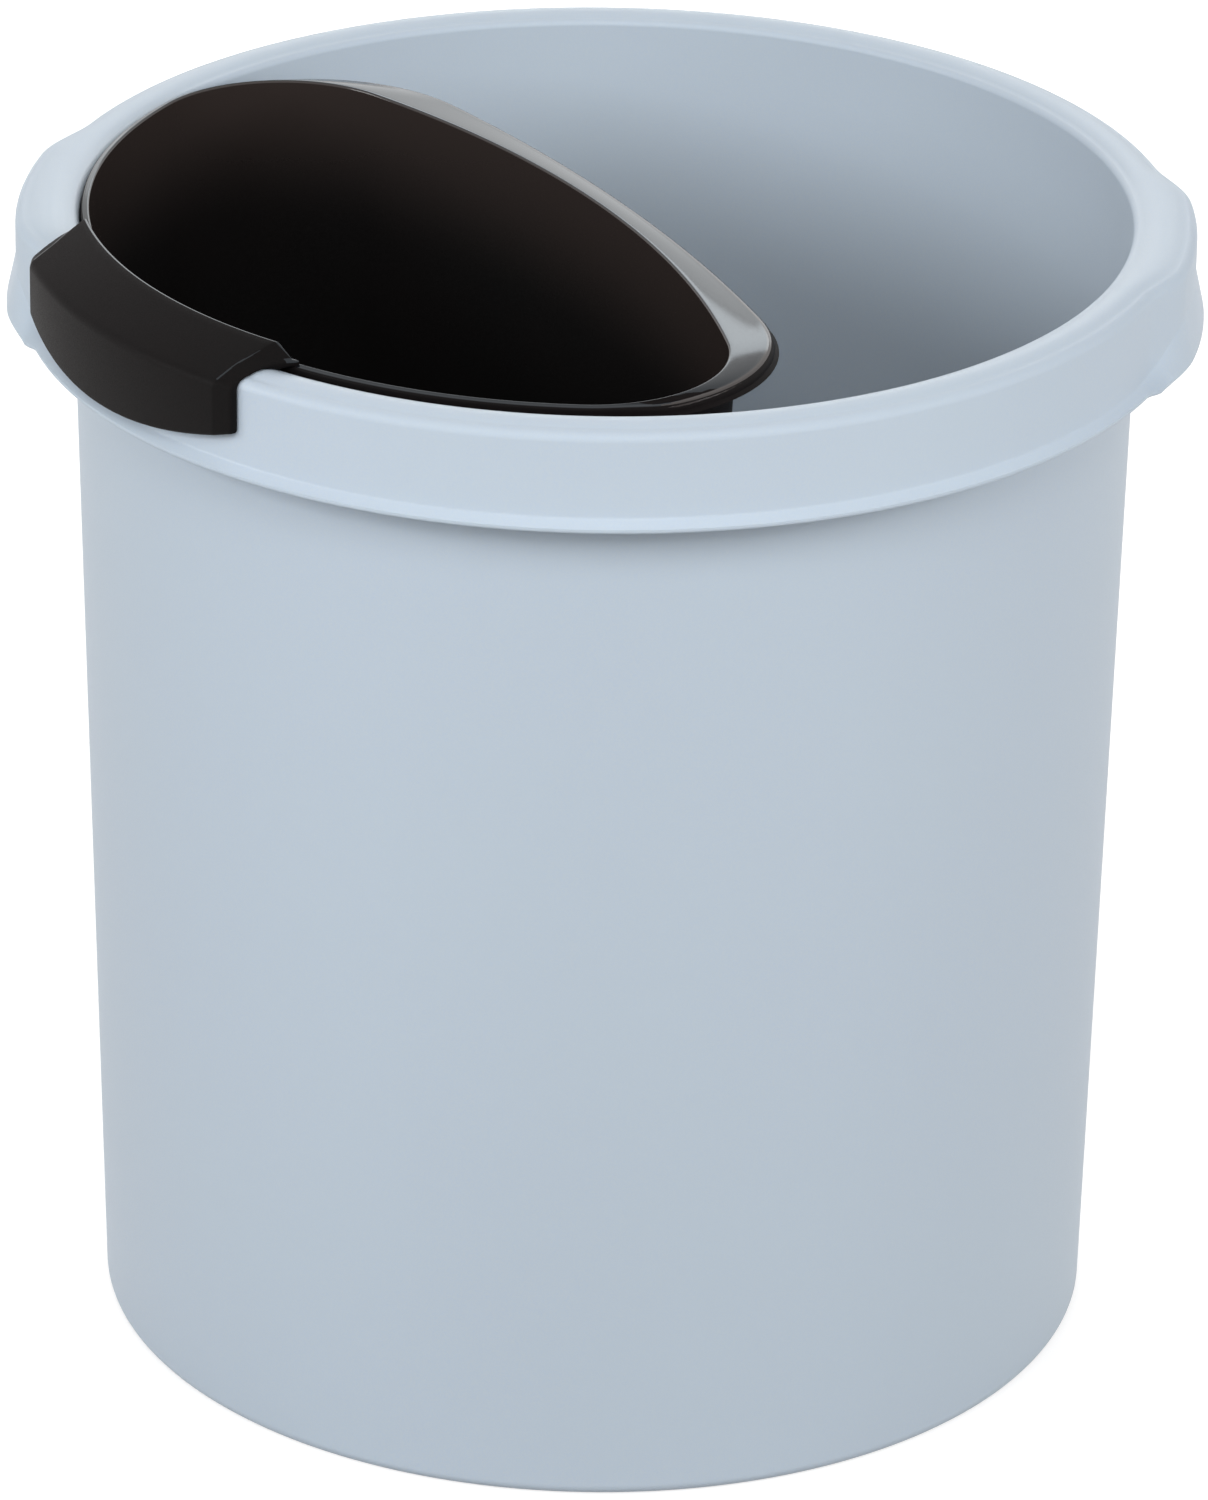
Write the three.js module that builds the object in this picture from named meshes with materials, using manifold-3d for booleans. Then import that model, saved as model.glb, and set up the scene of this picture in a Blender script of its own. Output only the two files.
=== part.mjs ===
import * as THREE from 'three';
import { mergeVertices } from 'three/addons/utils/BufferGeometryUtils.js';
import Module from 'manifold-3d';

// A round waste bin with a lift-out insert that keeps a second kind of waste apart.
// Millimetres, +Z up. The origin is the centre of the bin's foot, and the two finger grips of
// its collar lie on the X axis.

const wasm = await Module();
wasm.setup();
const { lerp, clamp, smoothstep, degToRad, radToDeg } = THREE.MathUtils;

// Sizes of the bin's pail
const rimHeight = 380; // foot to the inner edge of the mouth
const mouthRadius = 168.4; // inside, at the rim
const pailWall = 2.6;
const footTaper = 8.1; // the foot's radius is smaller than the rim's by this much
const floorWall = 3;
const baseRound = 4; // outer edge of the foot
const floorRound = 12; // inside, between wall and floor
const footRecess = 4; // hollow under the floor
const footWidth = 10; // flat ring that the bin stands on
const footDraft = 3; // slope of the hollow's side
const beadRadius = 96; // ring that stiffens the floor from below
const beadWidth = 3;
const beadDepth = 1.8;
const gateRadius = 5; // boss under the floor's middle
const gateDepth = 1;

// Sizes of the collar that is turned down round the rim
const collarWidth = 15.3; // from the mouth to the outside of the skirt
const collarDrop = 32; // rim to the lower edge of the lip
const collarWall = 2.4;
const crownRise = 1.5; // the top is arched by this much
const mouthRound = 2.2; // inner edge of the rim
const shoulderRound = 3.4; // between top and skirt
const rootRound = 2.2; // fillets inside the turned-down channel
const lipReach = 3.1; // the lip stands out from the skirt
const lipBand = 1.6; // upright face of the lip
const lipRound = 1; // lower edge of the lip
const lipFlare = 4; // height of lip and flare together

// Sizes of the two finger grips in the collar
const gripPush = 5.1; // the collar stands out by this much more
const gripFlare = 15.5; // height of lip and flare on a grip
const gripEndAngle = 18.2; // end of a grip, each side of the X axis
const gripLipAngle = 7; // the lip swings back within this much of the end
const gripShoulderAngle = 9; // the shoulder swings back within this much

// Sizes of the insert's tub and flange
const rimClearance = 0.6; // flange to the bin's mouth
const lipProud = 1.8; // flange above the rim's inner edge
const tubDepth = 240;
const tubWall = 2.2;
const tubDraftAngle = 2;
const tubRound = 9; // inside, between wall and floor
const openingChordRadius = 365; // the wall across the bin is a shallow arc
const openingApex = -3; // the arc's middle, past the bin's axis
const tubCorner = 43; // where the two arcs meet
const edgeWidth = 2.7; // flange along the bin's wall
const flangeChordRadius = 650;
const flangeApex = 7.6;
const flangeCorner = 58;
const flangeFlare = 1.2; // across the bin, the turned-down edge leans out by this much
const flangeWall = 2.2;
const flangeDepth = 5.2; // turned-down edge of the flange
const edgeFall = 0.3; // the top slopes outwards by this much along the bin's wall
const flangeFall = 1.5; // and by this much across the bin
const flangeCrown = 0.15; // and is arched a little
const edgeRound = 1.3; // outer edge of the flange along the bin's wall
const flangeRound = 2.6; // and across the bin
const openingRound = 1;
const leastHollow = 0.2; // under the flange where it is narrow
const hollowWidth = 4; // flange width past which its underside opens up

// Sizes of the hook over the collar
const hangGap = 0.5; // between hook and collar
const hookHalfWidth = 61.5;
const hookToe = 2.6; // each end runs on by this much at its inner edge
const hookRise = 8.6; // top edge above the rim
const creaseDrop = 0.8; // the sloping top ends below the rim by this much
const hookSkirt = 4.2; // thickness of the hanging face
const hookReach = 17.4; // hanging face below the rim, at the hook's ends
const hookDip = 9.3; // and lower by this much in the middle
const hookEdgeRound = 0.9;
const creaseRound = 2.2;
const hookCorner = 1.6; // the hanging face draws in at its ends
const chamferLength = 5; // at each end of the top
const chamferWall = 1.2; // what the chamfer leaves
const topSlopeShare = 0.32; // of the top's fall, over the middle of the rim
const pocketWall = 1.9; // left over the pockets that are cored out from below
const pocketRib = 1.6; // between two pockets
const pocketCount = 6;
const pocketHalfWidth = 53; // row of pockets, each side of the hook's middle

const hookStartAngle = 17.7; // from the X axis
const hookOffset = 4; // degrees from the middle of the tub to the middle of the hook

// Facets
const gripSteps = 4;
const fadeSteps = 2; // on the shoulder before the lip swings back
const lipSteps = 6;
const collarSteps = 14; // from a grip to the Y axis
const wallSteps = 32;
const chordSteps = 20;
const cornerSteps = 8;
const hookSteps = 22;
const pocketSteps = 3;
const arcSteps = 3;

const binColour = 0xb9c3cd;
const insertColour = 0x1d1b1b;

// Places that follow from the sizes
const rimOuterRadius = mouthRadius + pailWall;
const baseRadius = rimOuterRadius - footTaper;
const skirtRadius = mouthRadius + collarWidth;
const taper = (rimOuterRadius - baseRadius) / rimHeight;
const floorTop = footRecess + floorWall;
const lipLow = rimHeight - collarDrop;
const crownTop = rimHeight + crownRise;
const flangeLevel = rimHeight + lipProud;
const flangeOuter = mouthRadius - rimClearance;
const openingOuter = flangeOuter - edgeWidth;
const tubBottom = flangeLevel - tubDepth;
const tubDraft = Math.tan(degToRad(tubDraftAngle));
const collarShoulder = skirtRadius - shoulderRound;
const collarCrown = (mouthRadius + mouthRound + collarShoulder) / 2;
const hookTop = rimHeight + hookRise;
const hookCrease = rimHeight - creaseDrop;
const hookChannel = skirtRadius + hangGap;
const hookFace = hookChannel + hookSkirt;

// The hook starts where the grip on -X is almost over, and the tub turns with it, in degrees.
const hookHalfAngle = radToDeg(Math.asin(hookHalfWidth / hookChannel));
const hookTurn = 180 + hookStartAngle + hookHalfAngle;
const insertTurn = hookTurn - hookOffset;

// Skins a row of rings. A ring of one point is a pole; a first or last ring of more points is
// closed by the triangles of its own outline.
function skin(rings, capOutline) {
  const places = [];
  const faces = [];
  const starts = rings.map((ring) => {
    const start = places.length / 3;
    ring.forEach((point) => places.push(point.x, point.y, point.z));
    return start;
  });
  for (let k = 0; k + 1 < rings.length; k += 1) {
    const lower = rings[k];
    const upper = rings[k + 1];
    const count = Math.max(lower.length, upper.length);
    for (let i = 0; i < count; i += 1) {
      const next = (i + 1) % count;
      const a = starts[k] + (lower.length > 1 ? i : 0);
      const b = starts[k] + (lower.length > 1 ? next : 0);
      const c = starts[k + 1] + (upper.length > 1 ? next : 0);
      const d = starts[k + 1] + (upper.length > 1 ? i : 0);
      if (a !== b) faces.push(a, b, c);
      if (c !== d) faces.push(a, c, d);
    }
  }
  if (capOutline) {
    const last = starts[starts.length - 1];
    for (const [a, b, c] of THREE.ShapeUtils.triangulateShape(capOutline, [])) {
      faces.push(c, b, a);
      faces.push(last + a, last + b, last + c);
    }
  }
  const geometry = new THREE.BufferGeometry();
  geometry.setAttribute('position', new THREE.Float32BufferAttribute(places, 3));
  geometry.setIndex(faces);
  return geometry;
}

// An arc from one angle to another, in degrees, about a centre in the section plane.
function arc(r, z, radius, from, to, steps = arcSteps) {
  const points = [];
  for (let k = 0; k <= steps; k += 1) {
    const angle = degToRad(lerp(from, to, k / steps));
    points.push(new THREE.Vector2(r + radius * Math.cos(angle), z + radius * Math.sin(angle)));
  }
  return points;
}

// An arched line between two points at one height.
function arch(fromR, toR, z, rise, steps) {
  const points = [];
  for (let k = 1; k < steps; k += 1) {
    const share = k / steps;
    const lift = rise * 4 * share * (1 - share);
    points.push(new THREE.Vector2(lerp(fromR, toR, share), z + lift));
  }
  return points;
}

// Radius of the pail's outer face at a height.
function pailRadius(z) {
  return baseRadius + taper * z;
}

// Section of the bin from the foot's centre, up the outside, over the collar and down to the
// floor's centre. The two shares are 0 on the plain collar and 1 on a finger grip.
function binSection(shoulderShare, lipShare) {
  const upper = skirtRadius + gripPush * shoulderShare;
  const lower = skirtRadius + gripPush * lipShare;
  const lip = lower + lipReach;
  const flareTop = lipLow + lerp(lipFlare, gripFlare, lipShare);
  const channelTop = rimHeight - collarWall;
  const footInner = baseRadius - footWidth;
  const innerWall = (z) => pailRadius(z) - pailWall;
  const floorCorner = floorTop + floorRound;
  return [
    new THREE.Vector2(0, footRecess - gateDepth),
    new THREE.Vector2(gateRadius, footRecess - gateDepth),
    new THREE.Vector2(gateRadius, footRecess),
    new THREE.Vector2(beadRadius - beadWidth / 2, footRecess),
    new THREE.Vector2(beadRadius, footRecess - beadDepth),
    new THREE.Vector2(beadRadius + beadWidth / 2, footRecess),
    new THREE.Vector2(footInner - footDraft, footRecess),
    new THREE.Vector2(footInner, 0),
    ...arc(pailRadius(baseRound) - baseRound, baseRound, baseRound, -90, 0),
    ...arc(pailRadius(channelTop) + rootRound, channelTop - rootRound, rootRound, 180, 90, 2),
    ...arc(upper - collarWall - rootRound, channelTop - rootRound, rootRound, 90, 0, 2),
    new THREE.Vector2(lower - collarWall, flareTop),
    new THREE.Vector2(lip - collarWall, lipLow + lipBand),
    new THREE.Vector2(lip - collarWall, lipLow),
    ...arc(lip - lipRound, lipLow + lipRound, lipRound, -90, 0, 2),
    new THREE.Vector2(lip, lipLow + lipBand),
    new THREE.Vector2(lower, flareTop),
    ...arc(upper - shoulderRound, rimHeight - shoulderRound, shoulderRound, 0, 90, 4),
    ...arch(upper - shoulderRound, mouthRadius + mouthRound, rimHeight, crownRise, 5),
    ...arc(mouthRadius + mouthRound, rimHeight - mouthRound, mouthRound, 90, 180),
    ...arc(innerWall(floorCorner) - floorRound, floorCorner, floorRound, 0, -90, 4),
    new THREE.Vector2(0, floorTop),
  ];
}

// Directions round the bin, close together where a grip goes over into the plain collar.
function binDirections() {
  const fadeStart = gripEndAngle - gripShoulderAngle;
  const lipStart = gripEndAngle - gripLipAngle;
  const quarter = [];
  const addSteps = (from, to, steps) => {
    for (let k = 0; k < steps; k += 1) quarter.push(lerp(from, to, k / steps));
  };
  addSteps(0, fadeStart, gripSteps);
  addSteps(fadeStart, lipStart, fadeSteps);
  addSteps(lipStart, gripEndAngle, lipSteps);
  addSteps(gripEndAngle, 90, collarSteps);
  const half = [...quarter, 90, ...quarter.slice(1).reverse().map((angle) => 180 - angle)];
  return [...half, ...half.map((angle) => angle + 180)];
}

// How far a direction is on a grip that goes over into the collar within an angle of its end.
function gripShare(direction, fadeAngle) {
  const fromAxis = Math.abs(((direction + 90) % 180) - 90);
  return 1 - smoothstep(fromAxis, gripEndAngle - fadeAngle, gripEndAngle);
}

function binBody() {
  const directions = binDirections();
  const sections = directions.map((direction) => {
    const shoulderShare = gripShare(direction, gripShoulderAngle);
    return binSection(shoulderShare, gripShare(direction, gripLipAngle));
  });
  const last = sections[0].length - 1;
  const rings = sections[0].map((_, k) => {
    if (k === 0 || k === last) return [new THREE.Vector3(0, 0, sections[0][k].y)];
    return directions.map((direction, i) => {
      const angle = degToRad(direction);
      const { x: radius, y: z } = sections[i][k];
      return new THREE.Vector3(radius * Math.cos(angle), radius * Math.sin(angle), z);
    });
  });
  return skin(rings);
}

// Plan of the tub: an arc along the bin's wall, a shallow arc across the bin and two rounded
// corners, drawn inwards by an inset. The middle of the wall's arc lies on +X.
function tubPlan({ wall, chord, apex, corner }, inset) {
  const centre = chord - apex;
  const wallReach = wall - corner;
  const chordReach = chord - corner;
  const u = (wallReach ** 2 - chordReach ** 2 + centre ** 2) / (2 * centre);
  const v = Math.sqrt(wallReach ** 2 - u ** 2);
  const wallEnd = Math.atan2(v, u);
  const chordEnd = Math.atan2(v, u - centre);
  const points = [];
  const addArc = (x, y, radius, from, to, steps) => {
    for (let k = 0; k < steps; k += 1) {
      const angle = lerp(from, to, k / steps);
      points.push(new THREE.Vector2(x + radius * Math.cos(angle), y + radius * Math.sin(angle)));
    }
  };
  addArc(0, 0, wall - inset, -wallEnd, wallEnd, wallSteps);
  addArc(u, v, corner - inset, wallEnd, chordEnd, cornerSteps);
  addArc(centre, 0, chord - inset, chordEnd, 2 * Math.PI - chordEnd, chordSteps);
  addArc(u, -v, corner - inset, -chordEnd, -wallEnd, cornerSteps);
  return points;
}

const openingPlan = {
  wall: openingOuter,
  chord: openingChordRadius,
  apex: openingApex,
  corner: tubCorner,
};
const flangePlan = {
  wall: flangeOuter,
  chord: flangeChordRadius,
  apex: flangeApex,
  corner: flangeCorner,
};
const flarePlan = {
  ...flangePlan,
  chord: flangeChordRadius + flangeFlare,
  apex: flangeApex + flangeFlare,
};

// How far the tub's inner face has drawn in at a height.
function tubInset(z) {
  return (flangeLevel - z) * tubDraft;
}

// Rings of a rounded edge between the tub's floor and its wall.
function floorEdge(floor, radius, wall, upwards) {
  const bends = [];
  for (let k = 0; k <= arcSteps; k += 1) bends.push(degToRad((90 * k) / arcSteps));
  if (!upwards) bends.reverse();
  return bends.map((bend) => {
    const z = floor + radius * (1 - Math.cos(bend));
    const inset = tubInset(floor + radius) - wall + radius * (1 - Math.sin(bend));
    return ring(tubPlan(openingPlan, inset), z);
  });
}

function ring(plan, z) {
  return plan.map((point, i) => {
    const height = typeof z === 'function' ? z(i) : z;
    return new THREE.Vector3(point.x, point.y, height);
  });
}

// The tub with the flange round its opening, as one shell from the centre below its floor to
// the centre of the floor's upper face.
function tub() {
  const edgeLow = flangeLevel - flangeDepth;
  const shelfLow = flangeLevel - flangeWall;
  const outside = tubPlan(openingPlan, tubInset(shelfLow) - tubWall);
  const brim = tubPlan(flangePlan, 0);
  const widths = brim.map((point, i) => point.distanceTo(outside[i]));
  const openShare = (i) => smoothstep(widths[i], hollowWidth / 2, hollowWidth * 2);
  const hollow = (i) => lerp(edgeLow + leastHollow, shelfLow, openShare(i));
  const brimTop = (i) => flangeLevel - lerp(edgeFall, flangeFall, openShare(i));
  const edgeInner = brim.map((point, i) => {
    const edge = Math.min(flangeWall, widths[i] / 2);
    return point.clone().lerp(outside[i], edge / widths[i]);
  });
  const flared = tubPlan(flarePlan, 0);
  const flaredInner = edgeInner.map((point, i) => point.clone().add(flared[i]).sub(brim[i]));
  const drawnIn = tubPlan(flangePlan, flangeRound);
  const roll = [];
  for (let k = 0; k <= arcSteps; k += 1) {
    const bend = degToRad((90 * k) / arcSteps);
    roll.push(
      brim.map((point, i) => {
        const round = lerp(edgeRound, flangeRound, openShare(i));
        const drawShare = ((1 - Math.cos(bend)) * round) / flangeRound;
        const { x, y } = point.clone().lerp(drawnIn[i], drawShare);
        return new THREE.Vector3(x, y, brimTop(i) - round * (1 - Math.sin(bend)));
      }),
    );
  }
  const topInner = tubPlan(openingPlan, -openingRound);
  const crown = roll[arcSteps].map((point, i) => {
    const { x, y } = new THREE.Vector2(point.x, point.y).lerp(topInner[i], 1 / 2);
    return new THREE.Vector3(x, y, (brimTop(i) + flangeLevel) / 2 + flangeCrown * openShare(i));
  });
  const mouth = [];
  for (let k = 0; k <= arcSteps; k += 1) {
    const bend = degToRad((90 * k) / arcSteps);
    const plan = tubPlan(openingPlan, -openingRound * (1 - Math.sin(bend)));
    mouth.push(ring(plan, flangeLevel - openingRound * (1 - Math.cos(bend))));
  }
  const middle = (openingOuter - openingApex) / 2;
  const floor = tubBottom + tubWall;
  return skin([
    [new THREE.Vector3(middle, 0, tubBottom)],
    ...floorEdge(tubBottom, tubRound + tubWall, tubWall, true),
    ring(outside, hollow),
    ring(edgeInner, hollow),
    ring(flaredInner, edgeLow),
    ring(flared, edgeLow),
    ...roll,
    crown,
    ...mouth,
    ...floorEdge(floor, tubRound, 0, false),
    [new THREE.Vector3(middle, 0, floor)],
  ]);
}

// Section of the hook at one place along it, as radius and height. end is 1 on the hook and
// falls to 0 over the chamfer at its ends; low is the height of the hanging face's lower edge.
function hookSection(end, low) {
  const face = hookFace - hookCorner * (1 - end);
  const bed = crownTop + hangGap;
  const root = (openingOuter + flangeOuter) / 2;
  const chamfered = (high, under) => lerp(under + chamferWall, high, end);
  const bend = shoulderRound + hangGap;
  const slope = lerp(hookTop, hookCrease, topSlopeShare);
  const roundTop = hookCrease + creaseRound / 3;
  return [
    new THREE.Vector2(root, flangeLevel - edgeRound * 2),
    new THREE.Vector2(mouthRadius - hangGap, flangeLevel - edgeFall),
    new THREE.Vector2(mouthRadius + mouthRound, crownTop),
    ...arch(mouthRadius + mouthRound, collarShoulder, rimHeight + hangGap, crownRise, 4),
    ...arc(collarShoulder, rimHeight - shoulderRound, bend, 90, 0),
    new THREE.Vector2(hookChannel, low + hookEdgeRound),
    new THREE.Vector2(hookChannel + hookEdgeRound, low),
    new THREE.Vector2(face - hookEdgeRound, low),
    new THREE.Vector2(face, low + hookEdgeRound),
    new THREE.Vector2(face, hookCrease - creaseRound),
    new THREE.Vector2(face - creaseRound / 3, hookCrease - creaseRound / 3),
    new THREE.Vector2(face - creaseRound, chamfered(roundTop, hookCrease - chamferWall)),
    new THREE.Vector2(collarCrown, chamfered(slope, bed)),
    new THREE.Vector2(mouthRadius + mouthRound + hookEdgeRound, chamfered(hookTop, bed)),
    new THREE.Vector2(mouthRadius + hookEdgeRound, chamfered(hookTop - hookEdgeRound / 3, bed)),
    new THREE.Vector2(openingOuter + edgeWidth, chamfered(hookTop - hookEdgeRound * 2, bed)),
    new THREE.Vector2(openingOuter + openingRound, chamfered(bed + hookEdgeRound, flangeLevel)),
    new THREE.Vector2(openingOuter + openingRound / 2, flangeLevel - openingRound * 2),
  ];
}

// Sweeps sections along the collar between two parallel ends. The middle lies on +X, and each
// section belongs to a share of the hook's half width.
function sweep(shares, sectionAt) {
  const rings = shares.map((share) =>
    sectionAt(share).map(({ x: radius, y: z }) => {
      const inner = clamp((collarShoulder - radius) / (collarShoulder - mouthRadius), 0, 1);
      const across = share * (hookHalfWidth + hookToe * inner);
      return new THREE.Vector3(Math.sqrt(radius ** 2 - across ** 2), across, z);
    }),
  );
  return skin(rings, sectionAt(shares[0]));
}

function hookBlank() {
  const chamferShare = chamferLength / hookHalfWidth;
  const shares = [1];
  for (let k = 0; k <= hookSteps; k += 1) {
    shares.push(lerp(1 - chamferShare, chamferShare - 1, k / hookSteps));
  }
  shares.push(-1);
  return sweep(shares, (share) => {
    const end = 1 - clamp((Math.abs(share) - 1 + chamferShare) / chamferShare, 0, 1);
    const low = rimHeight - hookReach - hookDip * (1 - share ** 2);
    return hookSection(end, low);
  });
}

// Sections of the two pockets that leave the hook with an even wall, one over the rim and one
// behind the hanging face. Both are open downwards.
function rimPocket() {
  const slope = lerp(hookTop, hookCrease, topSlopeShare);
  const fallShare = (collarShoulder - collarCrown) / (hookFace - creaseRound - collarCrown);
  const outerHigh = lerp(slope, hookCrease, fallShare);
  const inner = mouthRadius + mouthRound + hangGap;
  return [
    new THREE.Vector2(inner, rimHeight - hangGap),
    new THREE.Vector2(collarShoulder, rimHeight - hangGap),
    new THREE.Vector2(collarShoulder, outerHigh - pocketWall),
    new THREE.Vector2(collarCrown, slope - pocketWall),
    new THREE.Vector2(inner, hookTop - pocketWall),
  ];
}

function facePocket() {
  const low = rimHeight - hookReach - hookDip - hangGap;
  const high = rimHeight - shoulderRound - pocketWall;
  const outer = hookFace - pocketWall;
  return [
    new THREE.Vector2(skirtRadius, low),
    new THREE.Vector2(outer, low),
    new THREE.Vector2(outer, high - hookEdgeRound),
    new THREE.Vector2(outer - hookEdgeRound, high),
    new THREE.Vector2(skirtRadius, high),
  ];
}

function pockets() {
  const reachShare = pocketHalfWidth / hookHalfWidth;
  const ribShare = pocketRib / hookHalfWidth;
  const cells = [];
  for (let k = 0; k < pocketCount; k += 1) {
    const from = lerp(reachShare, -reachShare, k / pocketCount) - ribShare / 2;
    const to = lerp(reachShare, -reachShare, (k + 1) / pocketCount) + ribShare / 2;
    const shares = [];
    for (let step = 0; step <= pocketSteps; step += 1) {
      shares.push(lerp(from, to, step / pocketSteps));
    }
    for (const section of [rimPocket, facePocket]) cells.push(sweep(shares, section));
  }
  return cells;
}

function toSolid(geometry) {
  const bare = geometry.clone();
  bare.deleteAttribute('normal');
  bare.deleteAttribute('uv');
  const merged = mergeVertices(bare);
  return new wasm.Manifold(
    new wasm.Mesh({
      numProp: 3,
      vertProperties: new Float32Array(merged.attributes.position.array),
      triVerts: new Uint32Array(merged.index.array),
    }),
  );
}

function toGeometry(solid) {
  const mesh = solid.getMesh();
  const geometry = new THREE.BufferGeometry();
  geometry.setAttribute('position', new THREE.BufferAttribute(mesh.vertProperties, 3));
  geometry.setIndex(new THREE.BufferAttribute(mesh.triVerts, 1));
  return geometry;
}

// The insert is one moulding: the hook grows out of the flange along the bin's wall.
function insert() {
  let hook = toSolid(hookBlank());
  for (const pocket of pockets()) hook = hook.subtract(toSolid(pocket));
  return toGeometry(toSolid(tub()).add(hook.rotate([0, 0, hookOffset])));
}

function part(name, geometry, colour, roughness) {
  geometry.computeVertexNormals();
  const material = new THREE.MeshStandardMaterial({ color: colour, roughness, metalness: 0 });
  const mesh = new THREE.Mesh(geometry, material);
  mesh.name = name;
  return mesh;
}

const bin = new THREE.Group();
const wasteInsert = new THREE.Group();
wasteInsert.rotation.z = degToRad(insertTurn);
wasteInsert.add(part('waste_insert', insert(), insertColour, 0.35));
bin.add(part('bin_body', binBody(), binColour, 0.55));
bin.add(wasteInsert);

export default bin;
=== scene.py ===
import math

import bmesh
import bpy
from mathutils import Matrix, Vector


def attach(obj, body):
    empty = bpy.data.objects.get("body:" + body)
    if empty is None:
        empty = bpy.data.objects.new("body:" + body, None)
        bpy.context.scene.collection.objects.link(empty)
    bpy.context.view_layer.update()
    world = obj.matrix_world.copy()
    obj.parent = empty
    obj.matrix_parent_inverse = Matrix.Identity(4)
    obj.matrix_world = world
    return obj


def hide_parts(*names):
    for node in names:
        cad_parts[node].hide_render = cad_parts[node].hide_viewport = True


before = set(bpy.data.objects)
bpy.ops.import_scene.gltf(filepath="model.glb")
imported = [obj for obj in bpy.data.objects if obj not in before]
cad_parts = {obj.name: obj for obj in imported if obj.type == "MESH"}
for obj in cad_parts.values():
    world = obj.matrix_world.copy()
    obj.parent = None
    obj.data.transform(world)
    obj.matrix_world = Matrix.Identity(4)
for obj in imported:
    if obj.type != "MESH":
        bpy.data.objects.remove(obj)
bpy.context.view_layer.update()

# A round waste bin in light grey plastic, with a glossy black basket hung in at the left.
# The frame is the CAD's: +Z up, the foot's centre at the origin, the finger grips on the X axis.
# The bin's lengths are in millimetres until a mesh is made, and its angles are in degrees.
MM = 0.001

# Pail
RIM_HEIGHT = 380.0
MOUTH_RADIUS = 168.4
BASE_RADIUS = 162.9
PAIL_WALL = 2.6
FLOOR_WALL = 3.0
BASE_ROUND = 4.0
FLOOR_ROUND = 12.0
FOOT_RECESS = 4.0
FOOT_WIDTH = 10.0
FOOT_DRAFT = 3.0
BEAD_RADIUS = 96.0
BEAD_WIDTH = 3.0
BEAD_DEPTH = 1.8
GATE_RADIUS = 5.0
GATE_DEPTH = 1.0

# Collar
SKIRT_RADIUS = 183.7
COLLAR_DROP = 32.0
COLLAR_WALL = 2.4
CROWN_RISE = 1.5
MOUTH_ROUND = 2.2
SHOULDER_ROUND = 3.4
ROOT_ROUND = 2.2
LIP_REACH = 3.1
LIP_BAND = 1.6
LIP_ROUND = 1.0
LIP_FLARE = 4.0
LIP_FILLET = 0.6

# Finger grips
GRIP_PUSH = 5.1
GRIP_FLARE = 15.5
GRIP_END_ANGLE = 18.2
GRIP_FADE_ANGLE = 9.0
TONGUE_SHARE = 0.5
TONGUE_END_ANGLE = 19.6
TONGUE_FADE_ANGLE = 1.8

# Basket
RIM_CLEARANCE = 0.6
LIP_PROUD = 1.8
TUB_DEPTH = 240.0
TUB_WALL = 2.2
TUB_DRAFT_ANGLE = 2.0
TUB_ROUND = 9.0
OPENING_CHORD_RADIUS = 365.0
OPENING_APEX = -3.0
TUB_CORNER = 43.0
EDGE_WIDTH = 2.7
FLANGE_CHORD_RADIUS = 650.0
FLANGE_APEX = 7.6
FLANGE_CORNER = 58.0
FLANGE_FLARE = 1.2
FLANGE_WALL = 2.2
FLANGE_DEPTH = 5.2
EDGE_FALL = 0.3
FLANGE_FALL = 1.5
FLANGE_CROWN = 0.15
EDGE_ROUND = 1.0
FLANGE_ROUND = 2.6
OPENING_ROUND = 0.8
LEAST_HOLLOW = 0.2
HOLLOW_WIDTH = 4.0

# Hook over the collar
HANG_GAP = 0.5
HOOK_HALF_WIDTH = 61.5
HOOK_TOE = 2.6
HOOK_RISE = 8.6
CREASE_DROP = 0.8
HOOK_SKIRT = 4.2
HOOK_REACH = 17.4
HOOK_DIP = 9.3
HOOK_EDGE_ROUND = 0.9
HOOK_TOP_ROUND = 1.3
CREASE_ROUND = 2.2
HOOK_CORNER = 1.6
CHAMFER_LENGTH = 5.0
CHAMFER_WALL = 1.2
CHAMFER_BLEND = 0.5
TOP_SLOPE_SHARE = 0.32
CAP_BEVEL = 0.45
POCKET_WALL = 1.9
POCKET_RIB = 1.6
POCKET_COUNT = 6
POCKET_HALF_WIDTH = 53.0
HOOK_START_ANGLE = 17.7
HOOK_OFFSET = 4.0

# How finely the shapes are made
FILLET_STEPS = 4
HOOK_EDGE_STEPS = 5
BEND_STEPS = 6
ROUND_STEPS = 8
MOUTH_STEPS = 10
BROAD_STEPS = 12
PAIL_STEPS = 480
PAIL_EVEN_SHARE = 0.3
PLAN_STEPS = {"wall": 150, "corner": 30, "chord": 90}
TUB_ROUND_STEPS = 10
CHAMFER_STEPS = 5
HOOK_STEPS = 30
CAP_STEPS = 3
SEAM_GAP = 0.01
PAIL_SHARP_ANGLE = 40.0
BASKET_SHARP_ANGLE = 35.0

# Finishes
FLAT_SHARE = 0.8
# Painted light: the basket's inside is painted lighter and warmer from this depth below the flange
# up to this height above it, where light falls near the rim
PAINTED_LIGHT_DEPTH = 50.0
PAINTED_LIGHT_PROUD = 6.0
NOISE_LOW = 0.3
NOISE_HIGH = 0.7
SPECKLE_DETAIL = 2.0
CLOUD_SCALE = 9.0
CLOUD_DETAIL = 3.0
CLOUD_SHARE = 0.5
GRAIN_DETAIL = 1.5
FLOW_DETAIL = 1.0

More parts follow.
